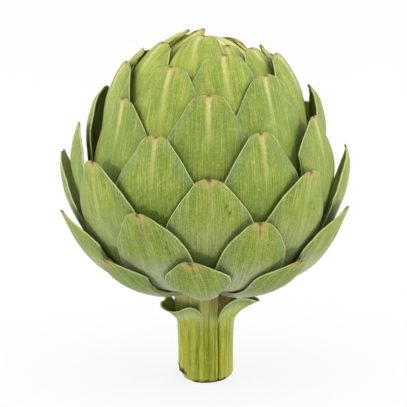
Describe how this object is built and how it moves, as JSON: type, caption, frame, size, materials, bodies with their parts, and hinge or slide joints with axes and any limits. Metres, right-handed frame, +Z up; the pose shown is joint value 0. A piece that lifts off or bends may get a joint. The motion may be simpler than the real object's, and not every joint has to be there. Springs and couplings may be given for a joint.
{
  "type": "artichoke",
  "caption": "Whole globe artichoke standing on its short flat-cut stem: a round head of overlapping pointed green bracts, with cut leaf stubs at the neck.",
  "frame": {"origin": "under the middle of the head, on the surface that the stem's cut end rests on", "axes": "+Z up the stem and through the top of the head; -Y is the front, the side with the small lowest bract in the middle and the cut leaf stubs to its left and right"},
  "size_m": [0.1101, 0.1097, 0.1359],
  "materials": {
    "bracts": "satin",
    "inner_bracts": "matte",
    "stem": "matte"
  },
  "bodies": {
    "root": {"bract_row1_1": "bracts", "bract_row1_2": "bracts", "bract_row1_3": "bracts", "bract_row1_4": "bracts", "bract_row1_5": "bracts", "bract_row1_6": "bracts", "bract_row1_7": "bracts", "bract_row2_1": "bracts", "bract_row2_2": "bracts", "bract_row2_3": "bracts", "bract_row2_4": "bracts", "bract_row2_5": "bracts", "bract_row2_6": "bracts", "bract_row2_7": "bracts", "bract_row3_1": "bracts", "bract_row3_2": "bracts", "bract_row3_3": "bracts", "bract_row3_4": "bracts", "bract_row3_5": "bracts", "bract_row3_6": "bracts", "bract_row3_7": "bracts", "bract_row4_1": "bracts", "bract_row4_2": "bracts", "bract_row4_3": "bracts", "bract_row4_4": "bracts", "bract_row4_5": "bracts", "bract_row4_6": "bracts", "bract_row4_7": "bracts", "bract_row5_1": "bracts", "bract_row5_2": "bracts", "bract_row5_3": "bracts", "bract_row5_4": "bracts", "bract_row5_5": "bracts", "bract_row5_6": "bracts", "bract_row5_7": "bracts", "bract_row6_1": "bracts", "bract_row6_2": "bracts", "bract_row6_3": "bracts", "bract_row6_4": "bracts", "bract_row6_5": "bracts", "bract_row6_6": "bracts", "bract_row6_7": "bracts", "bract_row7_1": "bracts", "bract_row7_2": "bracts", "bract_row7_3": "bracts", "bract_row7_4": "bracts", "bract_row7_5": "bracts", "bract_row7_6": "bracts", "bract_row7_7": "bracts", "bract_row8_1": "bracts", "bract_row8_2": "bracts", "bract_row8_3": "bracts", "bract_row8_4": "bracts", "bract_row8_5": "bracts", "inner_bud": "inner_bracts", "stem": "stem", "stem_leaf_left": "bracts", "stem_leaf_right": "bracts"}
  },
  "joints": []
}
